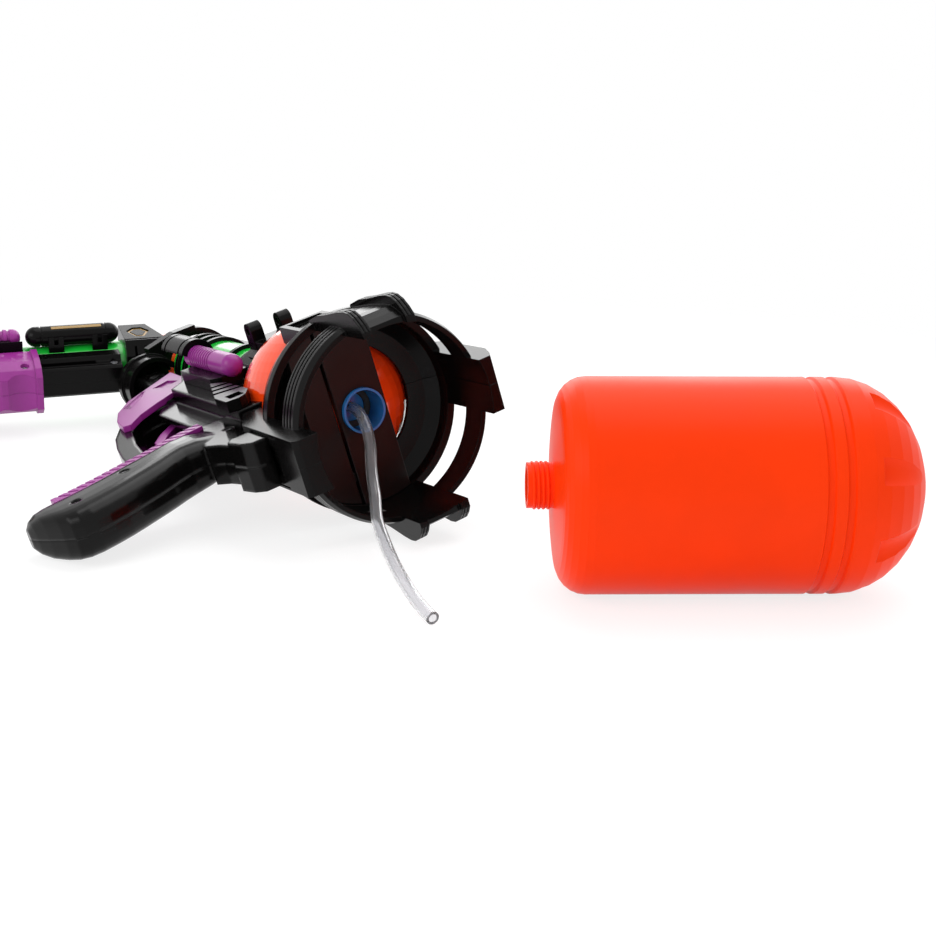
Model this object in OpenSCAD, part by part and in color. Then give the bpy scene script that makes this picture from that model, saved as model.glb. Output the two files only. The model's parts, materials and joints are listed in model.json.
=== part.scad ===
// Pump water squirter with a break-open barrel, lying on its right side with the tank unscrewed beside it.
// Millimetres. Gun frame: x backward, y up from the handle, z to the gun's left; lay() puts it on the table.

/* [Pose on the table] */
// lean of the gun about its own long axis
lay_roll = 15.9; // [0:0.1:30]
// nose-down slope of the gun's long axis
lay_pitch = 4.4; // [0:0.1:12]
// height of the cage centre over the table
lay_z = 76.2; // [60:0.1:110]
// cage centre along the table
lay_x = 100.0; // [0:0.1:200]
// cage centre across the table
lay_y = 43.6; // [-100:0.1:100]
// opening angle of the barrel about the break hinge
fold_open = 81; // [0:1:85]
// lean of the break hinge pin from the gun's side-to-side line
pin_lean = 15.8; // [0:0.1:20]

/* [Tank cage] */
// outer radius of the rear ring
ring_r = 66.5; // [60:0.5:75]
// thickness of the ring wall
ring_wall = 4.9; // [4:0.1:8]
// width of the rear ring
ring_w = 20; // [18:1:26]
// open gap between the rear ring and the bowl
gap_w = 24; // [18:1:26]
// front end of the lugs that carry the body and the beam
lug_end = 84; // [82:1:85]
// width of each lug
lug_w = 36; // [30:1:44]
// radius that the lug flanges reach
lug_r = 75.5; // [72:0.5:82]

/* [Tank] */
// radius of the tank
tank_r = 61.2; // [50:0.1:64]
// length of the tank without its neck
tank_l = 208.4; // [200:0.1:225]
// outer radius of the neck
neck_r = 12.9; // [10:0.1:16]
// length of the neck
neck_l = 14.5; // [10:0.5:20]
// wall of the tank
tank_wall = 2.5; // [2:0.1:4]
// distance of the tank's mouth from the cage centre along the table
tank_dx = 121.0; // [90:0.1:160]
// distance of the tank's mouth from the cage centre across the table
tank_dy = 20.2; // [0:0.1:60]
// turn of the tank on the table
tank_turn = 62.5; // [40:0.1:90]

/* [Body] */
// half thickness of the receiver
recv_t = 20; // [17:0.5:24]
// half thickness of the handle
grip_t = 17; // [15:0.5:18]
// radius of the pressure ball
ball_r = 55; // [53:0.5:56]
// radius of the green core
core_r = 24; // [22:0.5:25]
// radius of the purple side bolts
bolt_r = 8; // [7:0.5:8.5]

/* [Barrel] */
// outer radius of the barrel tube
tube_r = 19; // [16:0.5:20]
// radius of the side canister
can_r = 8; // [6:0.5:8.5]
// length of the side canister
can_l = 73; // [60:1:80]
// half width of the pump grip
pump_t = 20.5; // [19:0.5:24]
// length of the pump grip
pump_l = 105; // [90:1:110]
// travel of the pump grip
pump_stroke = 56; // [40:1:58]

/* [Fits] */
// gap between parts that are fastened together
joint_gap = 0.1; // [0.05:0.05:0.3]
// radial clearance of a turning pin
run_gap = 0.06; // [0.02:0.01:0.1]
// gap between parts that slide on each other
slide_gap = 0.35; // [0.2:0.05:0.6]

/* [Hidden] */
$fn = 48;
black = [0.05, 0.045, 0.045];
green = [0.1, 0.75, 0.2];
purple = [0.55, 0.15, 0.55];
orange = [1.0, 0.27, 0.08];
blue = [0.25, 0.55, 0.85];
clear = [0.85, 0.87, 0.88];
steel = [0.7, 0.7, 0.72];
rubber = [0.09, 0.09, 0.09];
white = [0.9, 0.9, 0.88];
ring_in = ring_r - ring_wall;
bowl_x = -gap_w - ring_w;
lug_off = 3;
ball_x = -47.5 - ball_r;
collar_r = 38;
feed_x = ball_x - 37.5;
bulk_x = -349;
hinge = [-363, -33, 0];
bolt_y = -38;
bolt_z = 34;
can_z = tube_r + can_r + 0.5;
pump_x0 = -450;
slot_y = -24.5;
feed_z = 8.5;
feed_r = 2.6;

// gun frame onto the table
module lay() { translate([lay_x, lay_y, lay_z]) rotate([lay_roll, -lay_pitch, 0]) children(); }
// barrel frame, closed, swung open about the break hinge
module fold() {
  lay() translate(hinge) rotate(a = fold_open, v = [0, sin(pin_lean),
      cos(pin_lean)]) translate(-hinge) children();
}
// break hinge frame, z along the pin
module at_pin() { translate(hinge) rotate([-pin_lean, 0, 0]) children(); }
// revolve about x, profile given as radius and x
module xrev(fn = 72) { rotate([0, 90, 0]) rotate_extrude($fn = fn) children(); }
module xcyl(x0, x1, r, fn = 48) { translate([x0, 0, 0]) rotate([0, 90, 0]) cylinder(h = x1 - x0,
    r = r, $fn = fn); }
module zcyl(z0, z1, r, fn = 32) { translate([0, 0, z0]) cylinder(h = z1 - z0, r = r, $fn = fn); }
module box(a, b) { translate(a) cube(b - a); }
// plate from an outline in x and y, between two heights
module plate(pts, z0, z1) { translate([0, 0, z0]) linear_extrude(z1 - z0) polygon(pts); }
// bar along x from an outline in y and z
module bar(pts, x0, x1) { translate([x0, 0, 0]) rotate([90, 0,
    90]) linear_extrude(x1 - x0) polygon(pts); }
module both_sides() { children(); mirror([0, 0, 1]) children(); }
module half(side) { intersection() { children(); half_space(side); } }
module half_space(side) {
  if (side > 0) box([-700, -300, joint_gap / 2], [200, 200, 200]);
  else box([-700, -300, -200], [200, 200, -joint_gap / 2]);
}
function spow(v, e) = sign(v) * pow(abs(v), e);
// closed body through level sections of height, centre, half depth and half thickness
module loft(secs, n = 32, e = 0.62) {
  m = len(secs);
  pts = [for (s = secs) for (k = [0 : n - 1])
    [s[1] + s[2] * spow(cos(360 * k / n), e), s[0], s[3] * spow(sin(360 * k / n), e)]];
  side = [for (i = [0 : m - 2]) for (k = [0 : n - 1])
    [i * n + k, i * n + (k + 1) % n, (i + 1) * n + (k + 1) % n, (i + 1) * n + k]];
  tri = [for (q = side) each [[q[0], q[2], q[1]], [q[0], q[3], q[2]]]];
  ends = [[for (k = [0 : n - 1]) k], [for (k = [0 : n - 1]) m * n - 1 - k]];
  polyhedron(points = pts, faces = concat(tri, ends), convexity = 4);
}

// tank cage: rear ring, bowl in front of it and four lugs that join them
bowl = [[ring_in, 0], [ring_r, 0], [ring_r, -5], [64.5, -11], [58, -27], [55, -33], [52.5, -31.5],
    [55, -25.5],
  [59.5, -14.5], [52, -16.5], [41, -20], [41, -17], [52, -13], [60, -7]];
inside = [[0, 60], [ring_in, 60], [ring_in, 0], [60, -7], [52, -13], [41, -17], [41, -20], [52, -16.5],
  [59.5, -14.5], [55, -25.5], [52.5, -31.5], [52.5, -50], [0, -50]];
module cage_inside() { translate([bowl_x, 0, 0]) xrev(72) polygon(inside); }
// saddle with two raised flanges that reaches back over the tank's shoulder
module saddle() {
  body = [[-60, 55], [-56, 60], [-46, lug_r - 11], [-20, lug_r - 7.5], [0, lug_r - 6], [8, lug_r - 6],
    [15, lug_r - 8.3], [21, lug_r - 11.2], [22, lug_r - 17.5], [-40, 52]];
  flange = [[-58, lug_r - 17.5], [-50, lug_r - 9.5], [-36, lug_r - 5.5], [-20, lug_r - 3.5],
    [-4, lug_r - 0.8], [4, lug_r], [10, lug_r - 0.6], [16, lug_r - 3.2], [21, lug_r - 7.5],
    [24.5, lug_r - 12], [24.5, lug_r - 17.5]];
  rotate([90, 0, 0]) translate([0, 0, -lug_w / 2]) linear_extrude(lug_w) polygon(body);
  for (s = [-1, 1]) translate([0, s * (lug_w / 2 - 3), 0]) rotate([90, 0, 0]) difference() {
    translate([0, 0, -3]) linear_extrude(6) polygon(flange);
    for (w = [-1.6, 0.8]) translate([0, 0, w]) linear_extrude(0.8) difference() {
      polygon(flange);
      translate([0, -1]) polygon(flange);
    }
  }
}
// long lug that reaches forward to the body or the beam, with its rear edge sloped off from flat to back
module long_lug(flat, back, drop) {
  outline = [[-lug_end, 52], [-lug_end, 64], [-58, lug_r], [flat, lug_r],
    [back - (back - flat) * 0.35, lug_r - drop * 0.55], [back, lug_r - drop], [back, 58]];
  difference() {
    rotate([90, 0, 0]) translate([0, 0, -lug_w / 2]) linear_extrude(lug_w) polygon(outline);
    box([-50, -lug_w / 2 + 8, lug_r - 2], [-12, lug_w / 2 - 8, lug_r + 1]);
    for (s = [-1, 1]) box([-46, s * 16 - 0.6, lug_r - 1], [-8, s * 16 + 0.6, lug_r + 1]);
  }
}
module cage() {
  xrev(96) difference() {
    polygon([[ring_in, 0], [ring_r - 1.8, 0], [ring_r, -4.5], [ring_r, -ring_w], [ring_in, -ring_w]]);
    for (k = [0 : 2]) translate([ring_r - 1.6, 2 - ring_w + 4.4 * k]) square([3, 1.8]);
  }
  translate([bowl_x, 0, 0]) xrev(72) polygon(bowl);
  difference() {
    union() {
      for (a = [0, 180]) rotate([a, 0, 0]) translate([0, a == 0 ? lug_off : -lug_off, 0]) {
        saddle();
        difference() {
          box([-88, -24, 44], [-56, 8, 60.5]);
          box([-84, -20, 58], [-62, 4, 62]);
        }
      }
      rotate([90, 0, 0]) long_lug(17, 20, 3);
      rotate([270, 0, 0]) long_lug(-4, 15, 8);
    }
    cage_inside();
    xcyl(-ring_w, 30, ring_in, 96);
    translate([ball_x, 0, 0]) sphere(ball_r + 1, $fn = 48);
  }
}
module cage_left() { color(black) lay() half(1) cage(); }
module cage_right() { color(black) lay() half(-1) cage(); }

// bridge across the drum that carries the tank socket
module socket_bridge() {
  color([0.16, 0.12, 0.11]) lay() difference() {
    intersection() {
      union() {
        box([-51, -17, -70], [-45, 17, 70]);
        for (s = [-1, 1]) box([-60, s * 15.5 - 1.5, -70], [-45, s * 15.5 + 1.5, 70]);
        box([-58, -38, -70], [-46, -19, 70]);
        for (z = [-40, 40]) box([-53, -20, z - 3], [-48, -14, z + 3]);
      }
      translate([bowl_x, 0, 0]) xrev(72) polygon([[0, 4], [ring_in - joint_gap, 4],
          [ring_in - joint_gap, -joint_gap],
        [60 - joint_gap, -7], [52 - joint_gap, -13 + joint_gap], [41 - joint_gap, -17 + joint_gap],
        [41 - joint_gap, -20], [0, -20]]);
    }
    translate([ball_x, 0, 0]) sphere(ball_r + joint_gap, $fn = 48);
    xcyl(-70, -40, 14.8);
  }
}
// blue cup that takes the tank neck, with a small spigot for the suction tube
module tank_socket() {
  color(blue) lay() {
    difference() {
      xcyl(-66, -42, 14.7);
      xcyl(-63, -41, neck_r + 0.4);
      translate([0, -4, 3]) xcyl(-67, -60, 1.6, 24);
    }
    difference() {
      translate([0, -4, 3]) xcyl(-63.5, -58, 2.6, 24);
      translate([0, -4, 3]) xcyl(-67, -57, 1.6, 24);
    }
  }
}
module socket_seal() {
  color(rubber) lay() xrev(48) translate([9.2, -63 + joint_gap]) square([3.9, 1.8]);
}

// clear tube swept through its route points
tube_path = [[-57.9, -4, 3], [-46, -3, 0], [-36, -5, -7], [-24, -11, -17], [-10, -21, -28], [8, -31, -37],
  [32, -44, -43], [55, -53, -48], [78, -61, -52], [103.5, -68.5, -56.4], [126, -73.5, -61.3],
  [142.5, -75, -65.6]];
tube_sides = 10;
tube_od = 7.4;
module sweep(path, d, n) {
  m = len(path);
  function unit(v) = v / norm(v);
  dir = [for (i = [0 : m - 1]) i == 0 ? [1, 0, 0] : unit(path[min(i + 1, m - 1)] - path[i - 1])];
  pts = [for (i = [0 : m - 1]) let (a = unit(cross(dir[i], [0, 1, 0])), b = cross(dir[i], a))
    for (k = [0 : n - 1]) path[i] + d / 2 * (a * cos(360 * k / n) + b * sin(360 * k / n))];
  tri = [for (i = [0 : m - 2]) for (k = [0 : n - 1]) each [
    [i * n + k, (i + 1) * n + (k + 1) % n, i * n + (k + 1) % n], [i * n + k, (i + 1) * n + k,
        (i + 1) * n + (k + 1) % n]]];
  ends = [[for (k = [0 : n - 1]) k], [for (k = [0 : n - 1]) m * n - 1 - k]];
  polyhedron(points = pts, faces = concat(tri, ends), convexity = 4);
}
module suction_tube() { color(clear) lay() sweep(tube_path, tube_od, tube_sides); }

// pressure ball between the socket and the core
module pressure_ball() {
  color(orange) lay() difference() {
    translate([ball_x, 0, 0]) sphere(ball_r, $fn = 48);
    difference() {
      translate([ball_x, 0, 0]) sphere(ball_r - 3, $fn = 40);
      xcyl(-69, -40, 17.8);
    }
    xcyl(-66 - joint_gap, -40, 14.8);
    box([-51 - joint_gap, -30, -30], [-40, 30, 30]);
    translate([0, -4, 3]) xcyl(-80, -60, 1.6, 24);
    translate([feed_x, 25 - ball_r, feed_z]) rotate([90, 0, 0]) cylinder(h = 20, r = 1.6, $fn = 24);
  }
}
module ball_collar() {
  color(black) lay() difference() {
    union() {
      xcyl(-172, ball_x - 43.5, collar_r, 72);
      for (a = [0 : 15 : 345]) rotate([a, 0, 0]) box([-160, -2.5, collar_r - 2], [-148, 2.5,
          collar_r + 2]);
      for (y = [-10, 13]) ear(y);
      box([-172, -14, 30], [ball_x - 41.5, 17, 41]);
      intersection() {
        translate([ball_x, 0, 0]) sphere(ball_r + 3.5, $fn = 48);
        box([ball_x - 57.5, -6, 20], [ball_x - 31.5, 17, 60]);
      }
    }
    xcyl(-180, -140, core_r + joint_gap, 72);
    translate([ball_x, 0, 0]) sphere(ball_r + joint_gap, $fn = 48);
    translate([-166, 0, 48]) rotate([90, 0, 0]) cylinder(h = 80, r = 2.5, center = true, $fn = 32);
  }
}
// strap eye on the collar
module ear(y) {
  translate([0, y + 4.5, 0]) rotate([90, 0, 0]) linear_extrude(9) union() {
    translate([-166, 48]) circle(6, $fn = 32);
    translate([-172, 30]) square([12, 18]);
  }
}
module green_core() {
  color(green) lay() difference() {
    xcyl(-333, -166, core_r, 72);
    xcyl(-330, -169, core_r - 3, 72);
    xcyl(-340, -325, 3, 24);
    translate([-280, -core_r + 5, 0]) rotate([90, 0, 0]) cylinder(h = 10, r = 2.2, $fn = 24);
  }
}
module core_hoops() {
  color(black) lay() for (x = [-322, -306, -290, -232, -206, -184])
    xrev(72) translate([core_r + joint_gap, x]) square([2.9, 5]);
}
module top_beam() {
  spine = [[-338.9, 20], [-338.9, 35], [-176, 38], [-150, 60], [-120, 63], [-84.1, 63], [-84.1, 45],
      [-150, 24], [-176, 20]];
  color(black) lay() difference() {
    union() {
      plate(spine, -8, 8);
      box([-330, 20, -12], [-180, 31, 12]);
    }
    xcyl(-350, -80, core_r + 3 + joint_gap, 72);
    xcyl(-173, -145, collar_r + 2 + joint_gap, 72);
    translate([ball_x, 0, 0]) sphere(ball_r + joint_gap, $fn = 48);
    for (x = [-310, -280, -250, -220]) box([x, 33, -9], [x + 16, 40, 9]);
  }
}

// bulkhead with the ears of the break hinge
module bulkhead() {
  color(black) lay() difference() {
    union() {
      xcyl(bulk_x, -339, core_r + 6, 72);
      translate([0, -43, 0]) xcyl(bulk_x, -322, 23, 48);
      box([bulk_x, -43, -23], [-339, -20, 23]);
      translate([0, -43, 0]) xcyl(-341, -337, 24.5, 48);
      both_sides() bar([[-36, 16], [-36, 27], [-12, 32], [6, 32], [6, 26]], bulk_x, -338);
      at_pin() pin_ears();
    }
    xcyl(-360, -330, 24.4, 48);
    translate([bulk_x - 1, 0, 0]) rotate([0, 90, 0]) cylinder(h = 5, r1 = 27, r2 = 24.4, $fn = 48);
    xcyl(-339, -300, core_r + 3.4, 72);
    translate([0, -43, 0]) xcyl(-345, -300, 19.5, 48);
    at_pin() zcyl(-30, 30, 3.5 + joint_gap / 5, 40);
    at_pin() box([-14, -14, -12], [13.8, 16, 12]);
  }
}
module pin_ears() {
  for (s = [-1, 1]) translate([0, 0, s * 14.5 - 2.5]) linear_extrude(5) union() {
    circle(11, $fn = 40);
    translate([0, -11]) square([15, 22]);
  }
}
module break_pin() {
  color(steel) lay() at_pin() union() {
    zcyl(-17, 17, 3.5, 40);
    zcyl(17 + joint_gap, 19, 5.5, 32);
    zcyl(16, 18, 3.5, 40);
  }
}

// left and right half shells: receiver, trigger guard and handle
recv = [[-246, -22], [-246, -45], [-222, -54], [-212, -66], [-85.6, -66], [-85.6, -34], [-160, -22]];
recv_front = [[-321.5, -40], [-321.5, -57], [-240, -57], [-240, -40]];
recv_web = [[-321.5, -20], [-321.5, -41], [-240, -41], [-240, -20]];
band = [[-214, -65], [-204, -80], [-192, -86], [-100, -86], [-100, -65]];
neck = [[-112, -65], [-112, -86], [-64, -101], [-54, -95], [-43, -92], [-25, -88.5], [-22, -84], [-22,
    -lug_r - 0.3],
  [-58, -lug_r - 0.3], [-85.6, -65.7]];
tang = [[-46, -lug_r - 0.3], [-46, -90], [-40, -94], [-27, -91], [-20, -86], [-20, -lug_r - 0.3]];
guard = [[-222, -53], [-220.5, -84], [-217, -98], [-206, -110], [-174, -125], [-150, -132], [-126,
    -137], [-84, -143],
  [-84, -130], [-122, -124], [-141, -121], [-176, -112], [-198, -100], [-206, -90], [-209, -80],
      [-209, -62]];
grip = [[-80, -88, 24, 12], [-92, -89, 23, 14], [-101, -88, 22, 16], [-113, -84.5, 20.5, grip_t],
    [-122, -80.5, 21, grip_t],
  [-130, -76.5, 22, grip_t], [-139, -72.5, 23, grip_t], [-148, -69, 24, grip_t], [-157, -65, 24.5,
      grip_t],
  [-166, -61.5, 25, grip_t], [-177, -58, 25.3, grip_t], [-187, -55.5, 25.3, grip_t], [-195, -54.5, 25,
      grip_t - 0.3],
  [-201, -56, 23.5, grip_t - 0.8], [-206, -59.5, 19.5, grip_t - 1.6], [-212, -65, 13.5, grip_t - 3.5],
  [-216.5, -69, 8, grip_t - 7], [-219, -71, 3.5, grip_t - 11]];
grip_core = [[-70, -88, 19, 9], [-101, -88, 18, 12.5], [-113, -84.5, 17, grip_t - 3], [-130, -76.5,
    18.5, grip_t - 3],
  [-148, -69, 20.5, grip_t - 3], [-166, -61.5, 21.5, grip_t - 3], [-187, -55.5, 21.8, grip_t - 3],
      [-200, -56, 19, grip_t - 5]];
strip = [[-114, -86], [-110.5, -101], [-106, -113], [-99.5, -130], [-94, -148], [-87.5, -166], [-82,
    -187], [-80, -198],
  [-70, -198], [-72, -187], [-77.5, -166], [-84, -148], [-89.5, -130], [-96, -113], [-100.5, -101],
      [-104, -86]];
strip_t = grip_t - 1.6;
mech = [[-318, -42], [-318, -54], [-240, -54], [-226, -58], [-206, -63], [-92, -63], [-92, -58],
    [-170, -46], [-238, -42]];
screw_at = [[-234, -42.5, recv_t], [-112, -60.5, recv_t], [-305, -48, 12], [-82, -77, 13], [-70, -152,
    grip_t],
  [-50, -190, grip_t - 0.5]];
module shells() {
  difference() {
    union() {
      plate(recv, -recv_t, recv_t);
      plate(recv_front, -12, 12);
      plate(recv_web, -5.5, 5.5);
      plate(band, -11, 11);
      plate(neck, -13, 13);
      plate(tang, -16, 16);
      plate(guard, -11, 11);
      loft(grip);
    }
    difference() {
      union() {
        loft(grip_core);
        plate(mech, -9, 9);
        plate([[-236, -47], [-208, -62], [-95, -62], [-95, -58], [-165, -47]], -recv_t + 3, recv_t - 3);
      }
      for (p = screw_at) translate([p[0], p[1], 0]) zcyl(-recv_t, recv_t, 4, 24);
    }
    plate([[-206, -62], [-206, -90], [-128, -90], [-128, -62]], -6, 6);
    xcyl(-340, -145, core_r + 3.2, 72);
    xcyl(-173, -145, collar_r + 2.3, 72);
    translate([ball_x, 0, 0]) sphere(ball_r + joint_gap, $fn = 48);
    plate(strip, -strip_t - joint_gap, strip_t + joint_gap);
    translate([-196, -58, 0]) zcyl(-recv_t + 1.4, recv_t - 1.4, 2.5);
    for (p = screw_at) translate([p[0], p[1], 0]) {
      zcyl(-p[2] + 3, 40, 1.5, 20);
      zcyl(p[2] - 3, 40, 3.2, 24);
    }
    translate([-280, -32, 0]) rotate([90, 0, 0]) cylinder(h = 26, r = 4.1, center = true, $fn = 32);
    translate([feed_x, -44, feed_z]) rotate([90, 0, 0]) cylinder(h = 20, r = feed_r + 0.3,
        center = true, $fn = 24);
    translate([0, -51, feed_z]) xcyl(-291, feed_x + 3, feed_r + 0.3, 24);
  }
}
module left_shell() { color(black) lay() half(1) shells(); }
module right_shell() { color(black) lay() half(-1) shells(); }
module shell_screws() {
  color(steel) lay() for (p = screw_at) translate([p[0], p[1], 0]) difference() {
    union() {
      zcyl(-p[2] + 4, p[2] - 2.5, 1.4, 20);
      zcyl(p[2] - 2.9, p[2] - 1, 3, 24);
    }
    for (a = [0, 90]) rotate(a) box([-2, -0.4, p[2] - 1.8], [2, 0.4, p[2]]);
  }
}
// ribbed strip down the front of the handle
module grip_strip() {
  color(purple) lay() difference() {
    plate(strip, -strip_t, strip_t);
    both_sides() for (k = [0 : 17]) translate([-113 + 1.94 * k, -91 - 6 * k, 0]) rotate([0, 0, 40])
      box([-8, -0.9, strip_t - 3.5], [9, 0.9, strip_t + 1]);
  }
}
// trim that straddles the front of the guard
module guard_trim() {
  outline = [[-285, -41], [-252, -42], [-224, -58], [-209, -80], [-195, -97.5], [-179, -110.5],
    [-181, -115.5], [-201, -113], [-223.5, -104.8], [-246.5, -89]];
  beside_guard = [[-231, -60], [-222.4, -84], [-218.7, -98.6], [-207, -111.2], [-176, -126], [-160, -110],
    [-200, -60]];
  color(purple) lay() difference() {
    plate(outline, -15.5, 15.5);
    plate([[-300, -30], [-300, -61], [-262, -61], [-230, -84], [-218, -84], [-210, -50], [-230, -30]],
        -12.1, 12.1);
    plate(beside_guard, -11 - joint_gap, 11 + joint_gap);
    both_sides() plate([[-262, -52], [-250, -48], [-246, -60], [-256, -66]], 14.2, 17);
    for (k = [0 : 2]) both_sides() plate([[-258 + 5 * k, -74 - 3 * k], [-256 + 5 * k, -72 - 3 * k],
        [-228 + 3 * k, -98 + k], [-230 + 3 * k, -99 + k]], 14.5, 17);
  }
}
// side trim on the receiver
module side_blocks() {
  outline = [[-151.5, -57], [-138, -50], [-100, -50], [-90, -56], [-86.5, -62], [-88, -71], [-108, -71]];
  color(black) lay() both_sides() difference() {
    plate(outline, recv_t + joint_gap, recv_t + 8);
    translate([ball_x, 0, 0]) sphere(ball_r + joint_gap, $fn = 48);
    for (x = [-138, -127, -116]) translate([x, -60, 0]) rotate([0, 0, -20]) box([-2, -20, recv_t + 5],
        [2, 20, recv_t + 9]);
    box([-102, -66, recv_t + 3], [-92, -56, recv_t + 9]);
  }
}
// purple ribbed bolts along both sides with their sleeves and trays
module bolt_shape() {
  xrev(40) difference() {
    union() {
      translate([0, -224]) square([bolt_r, 72]);
      translate([0, -152]) scale([1, 0.9]) intersection() {
        circle(bolt_r, $fn = 40);
        square(bolt_r);
      }
    }
    for (k = [0 : 8]) translate([bolt_r - 1.2, -213 + 4.2 * k]) square([3, 1.9]);
  }
}
module side_bolts() { color(purple) lay() both_sides() translate([0, bolt_y, bolt_z]) bolt_shape(); }
module bolt_sleeves() {
  color(black) lay() both_sides() translate([0, bolt_y, bolt_z]) difference() {
    xrev(48) translate([bolt_r + joint_gap, -260]) difference() {
      square([4.4, 44]);
      for (h = [6, 34]) translate([3.6, h]) square([2, 3]);
    }
    rotate([-33, 0, 0]) box([-270, -30, -40], [-200, 30, -2]);
  }
}
module bolt_trays() {
  color(black) lay() both_sides() difference() {
    plate([[-216 + joint_gap, -54], [-216 + joint_gap, -27], [-152, -27], [-152, -48], [-158, -54]],
      recv_t + joint_gap, 29);
    translate([0, bolt_y, bolt_z]) xcyl(-250, -130, bolt_r + joint_gap, 40);
    xcyl(-250, -140, collar_r + 2.3, 72);
    translate([ball_x, 0, 0]) sphere(ball_r + 1, $fn = 48);
  }
}
module trigger() {
  hub = [[-203, -46.5], [-190, -46.5], [-190.5, -66], [-203, -66]];
  blade = [[-203, -60], [-190.5, -60], [-190.5, -64], [-182, -77], [-166, -91], [-150, -101.5],
    [-152, -105.5], [-157, -105], [-172, -95.5], [-189.5, -80], [-203, -65]];
  color(purple) lay() difference() {
    union() {
      plate(hub, -5, 5);
      plate(blade, -2.8, 2.8);
    }
    translate([-196, -58, 0]) zcyl(-8, 8, 2.5 + run_gap);
  }
}
module trigger_pin() { color(steel) lay() translate([-196, -58, 0]) zcyl(-recv_t + 1.5, recv_t - 1.5,
    2.5 - joint_gap / 10); }
// return spring between the trigger and the valve
module trigger_spring() { color(steel) lay() translate([0, -50.5, 0]) spring_form(-213.8, -203.6, 3.6,
    0.8, 4); }
// wire wound as one swept solid
module spring_form(x0, x1, r, d, turns) {
  per = 12;
  n = turns * per;
  s = 6;
  pitch = (x1 - x0 - d) / turns;
  pts = [for (i = [0 : n]) let (a = 360 * i / per) for (k = [0 : s - 1])
    let (q = 360 * k / s, rr = r + d / 2 * cos(q)) [x0 + d / 2 + pitch * i / per + d / 2 * sin(q),
        rr * cos(a), rr * sin(a)]];
  tri = [for (i = [0 : n - 1]) for (k = [0 : s - 1]) each [
    [i * s + k, i * s + (k + 1) % s, (i + 1) * s + (k + 1) % s], [i * s + k,
        (i + 1) * s + (k + 1) % s, (i + 1) * s + k]]];
  ends = [[for (k = [0 : s - 1]) s - 1 - k], [for (k = [0 : s - 1]) n * s + k]];
  polyhedron(points = pts, faces = concat(tri, ends), convexity = 6);
}
module valve_body() {
  color(white) lay() difference() {
    union() {
      translate([0, -50.5, 0]) xcyl(-300, -214, 3.4, 32);
      translate([-280, -core_r - 2 * joint_gap, 0]) rotate([90, 0, 0]) cylinder(h = 50 - core_r,
          r = 4, $fn = 32);
      box([-290, -53.5, -3.4], [-270, -48, 3.4]);
    }
    translate([0, -50.5, 0]) xcyl(-298, -213, 2.2, 32);
    translate([-280, -20, 0]) rotate([90, 0, 0]) cylinder(h = 30, r = 2.2, $fn = 24);
  }
}
module valve_stem() {
  color(white) lay() translate([0, -50.5, 0]) union() {
    xcyl(-294, -203.4, 1.5, 24);
    xcyl(-293, -287, 2.1, 24);
  }
}
// hose from the ball to the valve
module feed_tube() {
  color(clear) lay() difference() {
    union() {
      translate([0, -51, feed_z]) xcyl(-288, feed_x, feed_r, 24);
      translate([feed_x, -51, feed_z]) sphere(feed_r, $fn = 24);
      translate([feed_x, -51, feed_z]) rotate([-90, 0, 0]) cylinder(h = 14, r = feed_r, $fn = 24);
      translate([-285, -51, 3.4 + joint_gap]) zcyl(0, 5.5, 2.4, 24);
    }
    translate([ball_x, 0, 0]) sphere(ball_r + joint_gap, $fn = 48);
  }
}

// barrel group, drawn closed and swung open by fold()
module breech_block() {
  outline = [[-22, 14], [-14, 25], [20, 25], [23, 20], [23, -20], [20, -25], [-14, -25], [-22, -14]];
  color(black) fold() difference() {
    union() {
      bar(outline, -381, bulk_x - 0.6);
      at_pin() zcyl(-11.7, 11.7, 10.5, 40);
      at_pin() box([-9, 0, -11.5], [7, 18, 11.5]);
    }
    xcyl(-390, -358, tube_r + joint_gap, 64);
    xcyl(-360, -340, 16 + joint_gap, 64);
    at_pin() zcyl(-20, 20, 3.5 + run_gap, 40);
    both_sides() plate([[-377, 6], [-371, 13], [-364, 13], [-358.5, 5], [-364, -6], [-371, -6]], 23.5, 27);
    both_sides() bar([[-13, 26], [-11, 26], [-11, 24], [-13, 24]], -390, -340);
    plate([[-348, -12], [-348, 30], [-363, 30]], -30, 30);
    for (x = [-374, -366, -358]) box([x, -30, 12], [x + 2, -17, 26]);
    at_pin() for (s = [-1, 1]) translate([0, 0, s * 14.6 - 2.8]) linear_extrude(5.6) union() {
      circle(11.6, $fn = 40);
      translate([0, -11.6]) square([30, 23.2]);
    }
    at_pin() zcyl(11.8, 21, 6.2, 32);
  }
}
module breech_plug() {
  color(orange) fold() difference() {
    xrev(56) union() {
      translate([0, -372]) square([16, 30]);
      translate([0, -349.5]) polygon([[0, 0], [21.5, 0], [21.5, 6.6], [20.4, 9.8], [17.5, 12.4], [13,
          13.5], [0, 13.5]]);
      translate([0, -372]) square([tube_r - 2 - joint_gap, 8]);
    }
    xcyl(-380, -330, 5, 32);
  }
}
module plug_seal() { color(rubber) fold() xrev(40) translate([6.5, -336 + joint_gap]) square([4, 1.6]); }
module barrel_tube() {
  color(green) fold() difference() {
    xcyl(-598, -358 - joint_gap, tube_r, 64);
    xcyl(-599, -350, tube_r - 2, 64);
  }
}
module canister_shape() {
  xrev(40) difference() {
    union() {
      translate([0, -457 + can_r]) square([can_r, can_l - 2 * can_r]);
      translate([0, -457 + can_r]) intersection() {
        circle(can_r, $fn = 40);
        translate([0, -can_r]) square(can_r);
      }
      translate([0, -457 + can_l - can_r]) intersection() {
        circle(can_r, $fn = 40);
        square(can_r);
      }
    }
    for (x = [-446, -396]) translate([can_r - 0.7, x]) square([2, 1.4]);
  }
}
module canister() { color(black) fold() translate([0, 0, can_z]) canister_shape(); }
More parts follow.
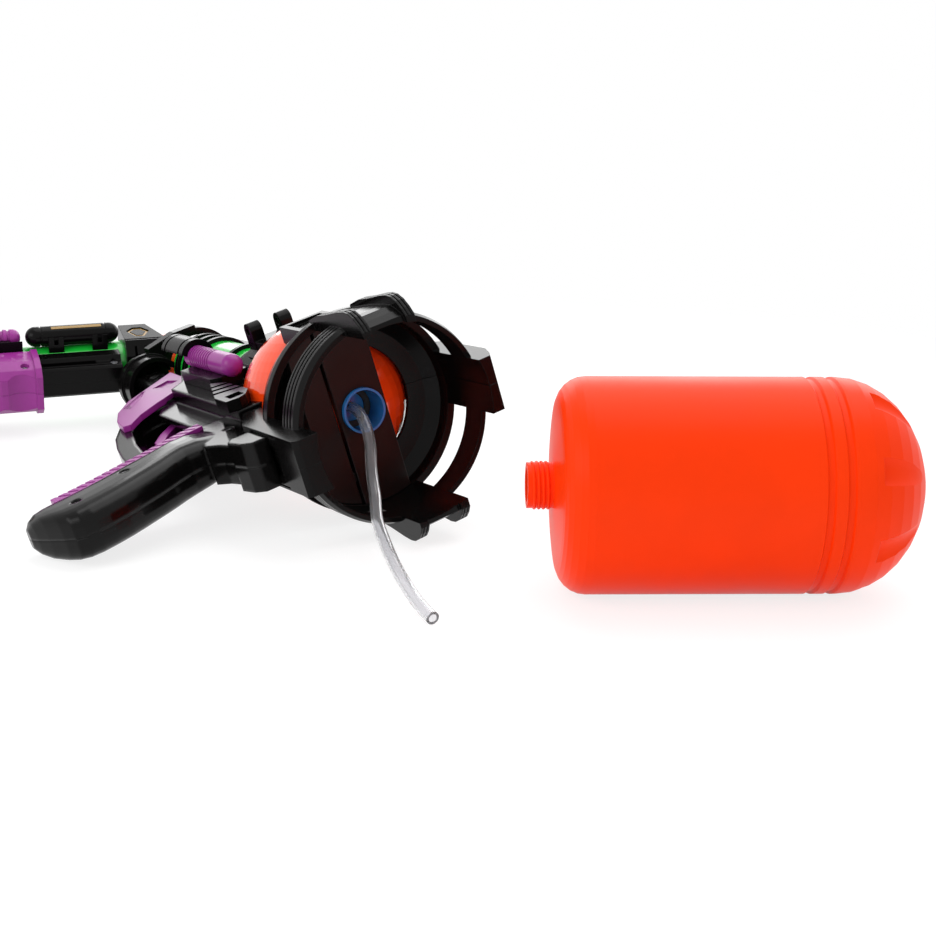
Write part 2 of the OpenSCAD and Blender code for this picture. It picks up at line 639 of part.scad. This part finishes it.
module canister_clips() {
  color(black) fold() for (x = [-440, -406]) difference() {
    box([x, -9.4, 14], [x + 12, 9.4, can_z + 2]);
    xcyl(-500, -350, tube_r + joint_gap, 64);
    translate([0, 0, can_z]) xcyl(-500, -350, can_r + joint_gap, 40);
    box([x + 4.5, -10, 23], [x + 7.5, 10, 40]);
  }
}
rail_half = [[-33, 0], [-33, 10], [-31, 12], [-23, 12.6], [-21, 16.5], [-10.4, 16.5], [-10.4, 0]];
module rails() {
  difference() {
    both_sides() bar(rail_half, -590, -386);
    xcyl(-600, -350, tube_r + joint_gap, 64);
    bar([[-31, -8], [-31, 8], [-28, 10], [-14, 10], [-14, -10], [-28, -10]], -578, -398);
    both_sides() box([-478, slot_y - 1.5 - slide_gap, 7], [-462 + pump_stroke,
        slot_y + 1.5 + slide_gap, 20]);
    both_sides() box([-595, -29.5, 11], [-380, -28.3, 14]);
    for (x = [-392, -584]) translate([x, -25.5, 0]) {
      zcyl(-11, 30, 1.5, 20);
      zcyl(9.6, 30, 3.2, 24);
    }
  }
}
module rail_left() { color(black) fold() half(1) rails(); }
module rail_right() { color(black) fold() half(-1) rails(); }
module rail_screws() {
  color(steel) fold() for (x = [-392, -584]) translate([x, -25.5, 0]) difference() {
    union() {
      zcyl(-10, 10, 1.4, 20);
      zcyl(9.7, 11.6, 3, 24);
    }
    for (a = [0, 90]) rotate(a) box([-2, -0.4, 10.8], [2, 0.4, 13]);
  }
}
// pump grip that slides along the rail
grip_half = [[-49, 0], [-49, 12], [-43, 17.5], [-32, pump_t], [-12, pump_t], [-10, pump_t - 1.5],
    [-10, 0]];
grip_bore = [[-33 - 0.4, 0], [-33.4, 10.3], [-31.1, 12.5], [-22.8, 13.2], [-20.8, 17], [-5, 17], [-5, 0]];
module pump_grips() {
  lip = [[-50.5, 0], [-50.5, 13], [-44, 19], [-32, pump_t + 1.6], [-12, pump_t + 1.6], [-10.2, pump_t],
      [-10.2, 0]];
  difference() {
    union() {
      both_sides() bar(grip_half, pump_x0 - pump_l, pump_x0);
      both_sides() bar(lip, pump_x0 - 5, pump_x0);
      both_sides() for (k = [0 : 3]) for (j = [0, 1])
        translate([pump_x0 - 14 - 13 * k - 6 * j, -17 - 9 * j, pump_t - 3]) sphere(4, $fn = 24);
    }
    both_sides() bar(grip_bore, pump_x0 - pump_l - 1, pump_x0 + 1);
    for (k = [0 : 3]) translate([pump_x0 - 16 - 25 * k, -62, 0]) zcyl(-40, 40, 16.5, 48);
    box([-475.1, slot_y - 1.6, -19], [-464.9, slot_y + 1.6, 19]);
    for (x = [pump_x0 - 12, pump_x0 - 92]) translate([x, -38, 0]) {
      zcyl(-13, 30, 1.5, 20);
      zcyl(15, 30, 3.2, 24);
    }
  }
}
module pump_grip_left() { color(purple) fold() half(1) pump_grips(); }
module pump_grip_right() { color(purple) fold() half(-1) pump_grips(); }
module pump_screws() {
  color(steel) fold() for (x = [pump_x0 - 12, pump_x0 - 92]) translate([x, -38, 0]) difference() {
    union() {
      zcyl(-12, 15.5, 1.4, 20);
      zcyl(15.1, 17, 3, 24);
    }
    for (a = [0, 90]) rotate(a) box([-2, -0.4, 16.2], [2, 0.4, 18]);
  }
}
module pump_carriage() {
  color(white) fold() difference() {
    union() {
      box([-475, slot_y - 1.5, -18.9], [-465, slot_y + 1.5, 18.9]);
      box([-475, slot_y - 4, -6], [-465, slot_y + 4, 6]);
    }
    translate([0, slot_y, 0]) xcyl(-480, -460, 2, 24);
  }
}
module pump_rod() { color(steel) fold() translate([0, slot_y, 0]) xcyl(-570, -464, 2 - joint_gap / 5,
    24); }
module pump_piston() {
  color(rubber) fold() translate([0, slot_y, 0]) difference() {
    xcyl(-573, -564, 4.45, 32);
    xcyl(-570, -560, 2, 24);
  }
}
module pump_cylinder() {
  color(white) fold() translate([0, slot_y, 0]) difference() {
    xcyl(-577.5, -496, 5.3, 32);
    xcyl(-575.5, -495, 4.5, 32);
    xcyl(-580, -570, 1.5, 20);
  }
}
module front_bolt_shape() {
  xrev(40) difference() {
    union() {
      translate([0, -530]) square([7, 64]);
      translate([0, -466]) scale([1, 0.8]) intersection() {
        circle(7, $fn = 40);
        square(7);
      }
    }
    for (k = [0 : 9]) translate([6, -516 + 5 * k]) square([2, 2.2]);
  }
}
module front_bolts() { color(purple) fold() both_sides() translate([0, 2,
    tube_r + 8]) front_bolt_shape(); }
module front_trays() {
  color(black) fold() both_sides() difference() {
    box([-545, -9.4, 14], [-460, 4, tube_r + 9]);
    xcyl(-600, -350, tube_r + joint_gap, 64);
    translate([0, 2, tube_r + 8]) xcyl(-531, -455, 7 + joint_gap, 40);
    translate([0, 0, can_z]) xcyl(-470, -455, can_r + 1, 40);
  }
}
module front_cap() {
  outline = [[-36, 12], [-22, 21], [8, 24], [24, 14], [24, -14], [8, -24], [-22, -21], [-36, -12]];
  color(black) fold() difference() {
    union() {
      bar(outline, -622, -590.5);
      xcyl(-634, -620, 18, 56);
    }
    xcyl(-598.5, -580, tube_r + joint_gap, 64);
    xcyl(-640, -590, 9 + joint_gap, 40);
  }
}
module nozzle() {
  color(orange) fold() difference() {
    xrev(48) union() {
      translate([0, -652]) square([7, 8]);
      translate([0, -645]) polygon([[0, 0], [7, 0], [11, 8], [11, 10.9], [0, 10.9]]);
      translate([0, -640]) square([9, 44]);
      translate([0, -598.4]) square([tube_r - 2 - joint_gap, 3]);
    }
    xcyl(-660, -590, 2.5, 32);
  }
}

// blow-moulded tank lying beside the gun
dome_x = neck_l + 158;
dome_l = tank_l - 158;
module tank_outline() {
  polygon(concat([[0, 0], [neck_r, 0], [neck_r, neck_l]],
    [for (a = [0 : 15 : 90]) [tank_r - 16 + 16 * sin(a), neck_l + 18 - 16 * cos(a)]],
    [[tank_r, neck_l + 140], [tank_r - 1.5, neck_l + 141], [tank_r - 1.5, neck_l + 144], [tank_r,
        neck_l + 145],
     [tank_r, neck_l + 151], [tank_r - 1.5, neck_l + 152], [tank_r - 1.5, neck_l + 155], [tank_r,
         neck_l + 156]],
    [for (a = [0 : 10 : 90]) [tank_r * cos(a), dome_x + dome_l * sin(a)]]));
}
module tank_cavity() {
  r = 16 - tank_wall;
  polygon(concat([[0, neck_l + 18 - r]],
    [for (a = [0 : 15 : 90]) [tank_r - 16 + r * sin(a), neck_l + 18 - r * cos(a)]],
    [[tank_r - tank_wall, neck_l + 134], [tank_r - 5, neck_l + 138]],
    [for (a = [0 : 10 : 90]) [(tank_r - 5) * cos(a), dome_x + (dome_l - 5) * sin(a)]]));
}
// shallow flutes round the dome
flute_r = 12;
flute_path = norm([dome_l * sin(35) + 6, tank_r * cos(35)]) + flute_r - 2.3;
module tank_flutes() {
  for (k = [0 : 7]) rotate([45 * k + 22.5, 0, 0]) translate([dome_x - 6, 0, 0]) rotate([90, 0,
      0]) rotate([0, 0, 32])
    rotate_extrude(angle = 40, $fn = 72) translate([flute_path, 0]) circle(flute_r, $fn = 40);
}
module tank() {
  color(orange) translate([lay_x + tank_dx, lay_y + tank_dy, tank_r]) rotate([0, 0,
      tank_turn]) difference() {
    xrev(96) tank_outline();
    xrev(48) tank_cavity();
    xcyl(-1, neck_l + 12, neck_r - 3.4, 40);
    tank_flutes();
  }
}

left_shell();
right_shell();
grip_strip();
guard_trim();
cage_left();
cage_right();
socket_bridge();
tank_socket();
socket_seal();
suction_tube();
pressure_ball();
ball_collar();
green_core();
core_hoops();
top_beam();
bulkhead();
break_pin();
side_bolts();
bolt_sleeves();
bolt_trays();
side_blocks();
trigger();
trigger_pin();
trigger_spring();
valve_body();
valve_stem();
feed_tube();
shell_screws();
breech_block();
breech_plug();
plug_seal();
barrel_tube();
canister();
canister_clips();
rail_left();
rail_right();
pump_grip_left();
pump_grip_right();
pump_carriage();
pump_rod();
pump_piston();
pump_cylinder();
front_bolts();
front_trays();
front_cap();
nozzle();
rail_screws();
pump_screws();
tank();
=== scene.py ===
import bpy
import bmesh
import json
import math
from mathutils import Matrix, Vector


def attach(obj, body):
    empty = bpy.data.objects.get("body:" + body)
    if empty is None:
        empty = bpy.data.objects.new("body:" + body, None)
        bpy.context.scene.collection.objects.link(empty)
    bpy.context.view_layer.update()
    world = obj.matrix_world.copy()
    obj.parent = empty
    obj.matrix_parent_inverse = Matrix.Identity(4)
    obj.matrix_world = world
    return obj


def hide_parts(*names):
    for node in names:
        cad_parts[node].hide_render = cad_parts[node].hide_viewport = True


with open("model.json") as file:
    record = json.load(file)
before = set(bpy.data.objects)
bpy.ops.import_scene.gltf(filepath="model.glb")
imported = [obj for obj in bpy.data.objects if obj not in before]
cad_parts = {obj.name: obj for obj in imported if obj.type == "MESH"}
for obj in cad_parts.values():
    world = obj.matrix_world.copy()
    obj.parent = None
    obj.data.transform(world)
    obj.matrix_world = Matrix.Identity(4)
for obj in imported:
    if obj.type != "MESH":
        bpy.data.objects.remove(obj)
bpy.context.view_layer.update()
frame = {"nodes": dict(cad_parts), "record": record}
nodes = frame["nodes"]

MM_PER_M = 1000

# Gun frame in millimetres: x backward, y up from the handle, z to the left, laid on the table as in the CAD.
LAY = Vector((100.0, 43.6, 76.2))
LAY_PITCH = math.radians(4.4)
LAY_ROLL = math.radians(15.9)
TURN = Matrix.Rotation(-LAY_PITCH, 3, "Y") @ Matrix.Rotation(LAY_ROLL, 3, "X")
# Break hinge between body and barrel: a point on its leaning pin, and how far it stands open
HINGE = Vector((-363, -33, 0))
PIN_LEAN = math.radians(15.8)
FOLD_OPEN = math.radians(81)
FOLD = Matrix.Rotation(FOLD_OPEN, 3, Vector((0, math.sin(PIN_LEAN), math.cos(PIN_LEAN))))
# Tank on the table beside the gun
TANK_R = 61.2
TANK_AT = Vector((LAY.x + 121.0, LAY.y + 20.2, TANK_R))
TANK_TURN = math.radians(62.5)


def gun(x, y, z):
    """Point of the gun frame in metres of the row frame."""
    return (LAY + TURN @ Vector((x, y, z))) / MM_PER_M


def fold(x, y, z):
    """Point of the closed barrel, swung open, in metres of the row frame."""
    p = HINGE + FOLD @ (Vector((x, y, z)) - HINGE)
    return (LAY + TURN @ p) / MM_PER_M


def tank(x, y, z):
    """Point of the tank frame, x from the mouth along its axis, in metres of the row frame."""
    c, s = math.cos(TANK_TURN), math.sin(TANK_TURN)
    return (TANK_AT + Vector((c * x - s * y, s * x + c * y, z))) / MM_PER_M


# Camera, held in the gun frame
CAM_AT = (867.59, -380.83, 272.08)
CAM_RIGHT = Vector((0.49709, 0.82686, -0.26308))
CAM_DOWN = Vector((0.15289, -0.38191, -0.91146))
CAM_AHEAD = Vector((-0.85412, 0.41286, -0.31626))
cam = bpy.data.cameras.new("camera")
cam.lens = 61.54
cam.sensor_width = 36.0
cam.clip_start = 0.01
cam_obj = bpy.data.objects.new("camera", cam)
bpy.context.scene.collection.objects.link(cam_obj)
look = Matrix((TURN @ CAM_RIGHT, -(TURN @ CAM_DOWN), -(TURN @ CAM_AHEAD))).transposed().to_4x4()
look.translation = gun(*CAM_AT)
cam_obj.matrix_world = look
bpy.context.scene.camera = cam_obj


# Materials
def new_material(name):
    m = bpy.data.materials.new(name)
    m.use_nodes = True
    tree = m.node_tree
    return m, tree, tree.nodes["Principled BSDF"]


def noise(tree, scale, detail=2.0):
    """Noise in the object's own space."""
    where = tree.nodes.new("ShaderNodeTexCoord")
    node = tree.nodes.new("ShaderNodeTexNoise")
    node.inputs["Scale"].default_value = scale
    node.inputs["Detail"].default_value = detail
    tree.links.new(where.outputs["Object"], node.inputs["Vector"])
    return node.outputs["Fac"]


def spread(tree, value, low, high):
    """A value from 0 to 1, stretched from low to high."""
    node = tree.nodes.new("ShaderNodeMapRange")
    node.inputs["To Min"].default_value = low
    node.inputs["To Max"].default_value = high
    tree.links.new(value, node.inputs["Value"])
    return node.outputs["Result"]


DRIFT_SCALE, DRIFT_DETAIL = 22.0, 3.0
DRIFT_FROM, DRIFT_TO = 0.3, 0.7
GLOSS_LOW, GLOSS_HIGH = 0.85, 1.2
GRAIN_DEPTH = 0.0004
EDGE_SAMPLES = 6
COAT_ROUGH = 0.12


def plastic(name, color, rough, vary=0.08, grain=0.05, scale=900.0, coat=0.0, edge=0.0007, spec=0.5):
    """Moulded plastic: slight colour drift, uneven gloss, fine surface grain and softened edges."""
    m, tree, bsdf = new_material(name)
    add, link = tree.nodes.new, tree.links.new
    drift = noise(tree, DRIFT_SCALE, DRIFT_DETAIL)
    ramp = add("ShaderNodeValToRGB")
    lower, upper = ramp.color_ramp.elements
    lower.position, upper.position = DRIFT_FROM, DRIFT_TO
    lower.color = [c * (1 - vary) for c in color] + [1]
    upper.color = [min(1, c * (1 + vary)) for c in color] + [1]
    link(drift, ramp.inputs["Fac"])
    link(ramp.outputs["Color"], bsdf.inputs["Base Color"])
    link(spread(tree, drift, rough * GLOSS_LOW, rough * GLOSS_HIGH), bsdf.inputs["Roughness"])
    bump = add("ShaderNodeBump")
    bump.inputs["Strength"].default_value = grain
    bump.inputs["Distance"].default_value = GRAIN_DEPTH
    link(noise(tree, scale), bump.inputs["Height"])
    soft = add("ShaderNodeBevel")
    soft.samples = EDGE_SAMPLES
    soft.inputs["Radius"].default_value = edge
    link(soft.outputs["Normal"], bump.inputs["Normal"])
    link(bump.outputs["Normal"], bsdf.inputs["Normal"])
    bsdf.inputs["Coat Weight"].default_value = coat
    bsdf.inputs["Coat Roughness"].default_value = COAT_ROUGH
    bsdf.inputs["Specular IOR Level"].default_value = spec
    return m


black = plastic("black_plastic", (0.0025, 0.0023, 0.0023), 0.2, vary=0.2, grain=0.03, spec=0.11)
shell = plastic("shell_plastic", (0.0025, 0.0023, 0.0023), 0.14, vary=0.2, grain=0.03, edge=0.0028,
                spec=0.16)
dark = plastic("dark_plastic", (0.009, 0.0058, 0.0055), 0.34, vary=0.2, grain=0.06, edge=0.001, spec=0.2)
purple = plastic("purple_plastic", (0.28, 0.022, 0.24), 0.3, vary=0.12, grain=0.06, edge=0.0012, spec=0.35)
green = plastic("green_plastic", (0.012, 0.55, 0.045), 0.18, vary=0.08, grain=0.02, coat=0.5)
orange = plastic("orange_plastic", (0.96, 0.042, 0.001), 0.36, vary=0.04, grain=0.05, scale=600.0, spec=0.08)
ball = plastic("ball_plastic", (0.95, 0.06, 0.004), 0.16, vary=0.06, grain=0.02, coat=0.6)
gold = plastic("gold_foil", (0.34, 0.2, 0.045), 0.3, vary=0.1, grain=0.03, edge=0.0003)
rubber = plastic("seal_rubber", (0.02, 0.02, 0.02), 0.65, vary=0.2, grain=0.2)
white = plastic("white_plastic", (0.75, 0.75, 0.72), 0.45, vary=0.05, grain=0.06)


STREAK_SCALE = 700.0
STREAK_LOW, STREAK_HIGH = 0.2, 0.4


def steel_material():
    """Bright steel with fine streaks in its gloss."""
    m, tree, bsdf = new_material("steel")
    streaks = spread(tree, noise(tree, STREAK_SCALE), STREAK_LOW, STREAK_HIGH)
    tree.links.new(streaks, bsdf.inputs["Roughness"])
    bsdf.inputs["Base Color"].default_value = (0.62, 0.62, 0.64, 1)
    bsdf.inputs["Metallic"].default_value = 1.0
    return m


HAZE_SCALE = 60.0
HAZE_LOW, HAZE_HIGH = 0.6, 1.6


def clear_material(name, color, rough, through, ior):
    """See-through plastic with a faint haze that varies along it."""
    m, tree, bsdf = new_material(name)
    haze = spread(tree, noise(tree, HAZE_SCALE), rough * HAZE_LOW, rough * HAZE_HIGH)
    tree.links.new(haze, bsdf.inputs["Roughness"])
    bsdf.inputs["Base Color"].default_value = (*color, 1)
    bsdf.inputs["Transmission Weight"].default_value = through
    bsdf.inputs["IOR"].default_value = ior
    return m


steel = steel_material()
hose = clear_material("clear_hose", (0.84, 0.84, 0.86), 0.09, 0.92, 1.33)
blue = clear_material("blue_plastic", (0.035, 0.25, 0.66), 0.1, 0.3, 1.45)

by_slot = {
    "black_plastic": black, "dark_plastic": dark, "purple_plastic": purple, "green_plastic": green,
    "orange_plastic": orange, "blue_plastic": blue, "clear_hose": hose, "seal_rubber": rubber,
    "steel": steel, "white_plastic": white,
}
for part in frame["record"]["subparts"]:
    obj = nodes[part["node"]]
    obj.data.materials.clear()
    obj.data.materials.append(by_slot[part["material_slot"]])
for name in ("pressure_ball", "breech_plug"):
    nodes[name].data.materials[0] = ball
for name in ("left_shell", "right_shell"):
    nodes[name].data.materials[0] = shell


# Pieces
def mesh_piece(name, bm, material, body, smooth=True):
    """Finish a mesh as a piece of the scene that rides on a body."""
    me = bpy.data.meshes.new(name)
    bmesh.ops.recalc_face_normals(bm, faces=bm.faces)
    bm.to_mesh(me)
    bm.free()
    me.materials.append(material)
    for f in me.polygons:
        f.use_smooth = smooth
    obj = bpy.data.objects.new(name, me)
    bpy.context.scene.collection.objects.link(obj)
    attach(obj, body)
    return obj


def smooth_path(points, per):
    """Catmull-Rom curve through the points."""
    out = []
    n = len(points)
    for i in range(n - 1):
        p0, p1 = points[max(i - 1, 0)], points[i]
        p2, p3 = points[i + 1], points[min(i + 2, n - 1)]
        for k in range(per):
            t = k / per
            out.append(0.5 * (2 * p1 + (p2 - p0) * t + (2 * p0 - 5 * p1 + 4 * p2 - p3) * t * t
                              + (3 * p1 - p0 - 3 * p2 + p3) * t ** 3))
    out.append(points[-1])
    return out


def rings_along(bm, path, radii, sides):
    """Rings of vertices that follow a path without twisting."""
    rings = []
    side = None
    for i, p in enumerate(path):
        d = (path[min(i + 1, len(path) - 1)] - path[max(i - 1, 0)]).normalized()
        if side is None:
            side = d.orthogonal().normalized()
        side = (side - d * side.dot(d)).normalized()
        up = d.cross(side)
        rings.append([bm.verts.new(p + radii[i] * (side * math.cos(a) + up * math.sin(a)))
                      for a in (2 * math.pi * k / sides for k in range(sides))])
    return rings


def skin(bm, rings):
    """Faces between each ring and the next."""
    for a, b in zip(rings, rings[1:]):
        n = len(a)
        for k in range(n):
            bm.faces.new((a[k], a[(k + 1) % n], b[(k + 1) % n], b[k]))


# Suction tube, with its bore
HOSE_D, HOSE_BORE = 0.0074, 0.0048
HOSE_SIDES, HOSE_STEPS = 28, 10
route = [(-57.9, -4, 3), (-46, -3, 0), (-36, -5, -7), (-24, -11, -17), (-10, -21, -28), (8, -31, -37),
         (32, -44, -43), (55, -53, -48), (78, -61, -52), (103.5, -68.5, -56.4), (126, -73.5, -61.3),
         (142.5, -75, -65.6)]
line = smooth_path([gun(*p) for p in route], HOSE_STEPS)
bm = bmesh.new()
outer, inner = (rings_along(bm, line, [d / 2] * len(line), HOSE_SIDES) for d in (HOSE_D, HOSE_BORE))
skin(bm, outer)
skin(bm, inner)
for end in (0, -1):
    skin(bm, [outer[end], inner[end]])
tube = mesh_piece("suction_hose", bm, hose, "rear")
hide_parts("suction_tube")

# Thread round the neck of the tank: a ridge that fades out at both ends
THREAD_START, THREAD_PITCH, THREAD_TURNS = 2.4, 2.6, 4
THREAD_R, THREAD_STEPS, THREAD_FADE = 12.75, 24, 6
RIDGE, RIDGE_END, RIDGE_SIDES = 0.0009, 0.0001, 8
steps = THREAD_STEPS * THREAD_TURNS
path, size = [], []
for i in range(steps + 1):
    turn = i / THREAD_STEPS
    a = 2 * math.pi * turn
    path.append(tank(THREAD_START + THREAD_PITCH * turn, THREAD_R * math.cos(a), THREAD_R * math.sin(a)))
    size.append(RIDGE * min(1, i / THREAD_FADE, (steps - i) / THREAD_FADE) + RIDGE_END)
bm = bmesh.new()
rings = rings_along(bm, path, size, RIDGE_SIDES)
skin(bm, rings)
for ring in (rings[0], rings[-1]):
    bm.faces.new(ring)
mesh_piece("neck_thread", bm, orange, "tank")

# Bare foil panel in the recess of the breech block: a gold plate with a smaller black one on it
RECESS = [(-377, 6), (-371, 13), (-364, 13), (-358.5, 5), (-364, -6), (-371, -6)]
RECESS_FLOOR = 23.5
GOLD_SHARE, GOLD_LOW, GOLD_HIGH = 0.9, 0.05, 0.6
FACE_SHARE, FACE_LOW, FACE_HIGH = 0.68, 0.65, 0.9
middle = Vector((sum(p[0] for p in RECESS), sum(p[1] for p in RECESS))) / len(RECESS)


def recess_plate(name, share, low, high, material):
    """Plate in the recess, a share of its width, from low to high above its floor."""
    outline = [middle + (Vector(p) - middle) * share for p in RECESS]
    bm = bmesh.new()
    top = [bm.verts.new(fold(*p, RECESS_FLOOR + high)) for p in outline]
    bottom = [bm.verts.new(fold(*p, RECESS_FLOOR + low)) for p in outline]
    bm.faces.new(top)
    bm.faces.new(bottom)
    skin(bm, [bottom, top])
    mesh_piece(name, bm, material, "barrel", smooth=False)


recess_plate("breech_panel", GOLD_SHARE, GOLD_LOW, GOLD_HIGH, gold)
recess_plate("breech_panel_face", FACE_SHARE, FACE_LOW, FACE_HIGH, black)

# Bare label, curved along the canister
CAN_Z, CAN_R = 27.5, 8.0
LABEL_ENDS = (-437, -398)
LABEL_TURN, LABEL_HALF = math.radians(19.7), math.radians(10)
LABEL_UNDER, LABEL_OVER = 0.05, 0.3
LABEL_STEPS = 8


def on_canister(x, a, rise):
    """Point above the canister's wall, turned by a from the side that faces up."""
    r = CAN_R + rise
    return fold(x, -r * math.sin(a), CAN_Z + r * math.cos(a))


arc = [LABEL_TURN + LABEL_HALF * (2 * k / LABEL_STEPS - 1) for k in range(LABEL_STEPS + 1)]
bm = bmesh.new()
hoops = []
for x in LABEL_ENDS:
    over = [bm.verts.new(on_canister(x, a, LABEL_OVER)) for a in arc]
    under = [bm.verts.new(on_canister(x, a, LABEL_UNDER)) for a in reversed(arc)]
    hoops.append(over + under)
skin(bm, hoops)
for hoop in hoops:
    bm.faces.new(hoop)
mesh_piece("canister_label", bm, gold, "barrel", smooth=False)

# Floor and light
ROOM_LIGHT = 0.7
# Paper: how much light it throws back on the object, and its shaded and its own light where it is seen
PAPER_BOUNCE = 0.93
PAPER_SHADE = 0.26
PAPER_GLOW = 0.8
# Distance from the middle over which the paper runs out to white, in metres
FADE_START, FADE_END = 0.45, 0.95
FLOOR_HALF, FLOOR_DROP = 6, 0.0005
LAMP_AIM = Vector((0, 0, 0.05))


def backdrop_rays(tree):
    """1 for rays from the camera, from gloss and through clear plastic, which all see the white backdrop."""
    ray = tree.nodes.new("ShaderNodeLightPath")
    value = ray.outputs["Is Camera Ray"]
    for kind in ("Is Glossy Ray", "Is Transmission Ray"):
        most = tree.nodes.new("ShaderNodeMath")
        most.operation = "MAXIMUM"
        tree.links.new(value, most.inputs[0])
        tree.links.new(ray.outputs[kind], most.inputs[1])
        value = most.outputs["Value"]
    return value


def grey(level):
    return (level, level, level, 1)


def paper_material():
    """White paper that keeps the object's soft shadow and runs out to pure white away from it."""
    m, tree, bsdf = new_material("floor")
    add, link = tree.nodes.new, tree.links.new
    bsdf.inputs["Roughness"].default_value = 0.9
    bsdf.inputs["Specular IOR Level"].default_value = 0.0
    bsdf.inputs["Base Color"].default_value = grey(PAPER_BOUNCE)
    matt = add("ShaderNodeBsdfDiffuse")
    matt.inputs["Color"].default_value = grey(PAPER_SHADE)
    glow = add("ShaderNodeEmission")
    glow.inputs["Strength"].default_value = PAPER_GLOW
    near = add("ShaderNodeAddShader")
    link(matt.outputs["BSDF"], near.inputs[0])
    link(glow.outputs["Emission"], near.inputs[1])
    far = add("ShaderNodeEmission")
    where = add("ShaderNodeTexCoord")
    reach = add("ShaderNodeVectorMath")
    reach.operation = "LENGTH"
    link(where.outputs["Object"], reach.inputs[0])
    fade = add("ShaderNodeMapRange")
    fade.interpolation_type = "SMOOTHSTEP"
    fade.inputs["From Min"].default_value = FADE_START
    fade.inputs["From Max"].default_value = FADE_END
    link(reach.outputs["Value"], fade.inputs["Value"])
    paper = add("ShaderNodeMixShader")
    link(fade.outputs["Result"], paper.inputs["Fac"])
    link(near.outputs["Shader"], paper.inputs[1])
    link(far.outputs["Emission"], paper.inputs[2])
    pick = add("ShaderNodeMixShader")
    link(backdrop_rays(tree), pick.inputs["Fac"])
    link(bsdf.outputs["BSDF"], pick.inputs[1])
    link(paper.outputs["Shader"], pick.inputs[2])
    link(pick.outputs["Shader"], tree.nodes["Material Output"].inputs["Surface"])
    return m


floor_mesh = bpy.data.meshes.new("floor")
corners = [(-FLOOR_HALF, -FLOOR_HALF, 0), (FLOOR_HALF, -FLOOR_HALF, 0), (FLOOR_HALF, FLOOR_HALF, 0),
           (-FLOOR_HALF, FLOOR_HALF, 0)]
floor_mesh.from_pydata(corners, [], [(0, 1, 2, 3)])
floor_mesh.materials.append(paper_material())
floor = bpy.data.objects.new("floor", floor_mesh)
floor.location.z = -FLOOR_DROP
bpy.context.scene.collection.objects.link(floor)

world = bpy.data.worlds.new("studio")
bpy.context.scene.world = world
world.use_nodes = True
tree = world.node_tree
back = tree.nodes["Background"]
back.inputs["Color"].default_value = grey(1)
tree.links.new(spread(tree, backdrop_rays(tree), ROOM_LIGHT, 1.0), back.inputs["Strength"])


def softbox(name, at, size, watts):
    """Broad soft lamp that faces the object."""
    lamp = bpy.data.lights.new(name, "AREA")
    lamp.shape = "RECTANGLE"
    lamp.size, lamp.size_y = size
    lamp.energy = watts
    obj = bpy.data.objects.new(name, lamp)
    obj.location = at
    obj.rotation_euler = (LAMP_AIM - Vector(at)).to_track_quat("-Z", "Y").to_euler()
    bpy.context.scene.collection.objects.link(obj)
    obj.visible_camera = False


softbox("top_box", (-0.2, 0.5, 1.6), (1.8, 1.4), 16)
softbox("left_box", (0.3, -1.5, 0.9), (1.2, 0.9), 9)
softbox("back_box", (-1.3, 1.1, 0.75), (2.2, 1.0), 14)

bpy.context.scene.view_settings.view_transform = "Standard"
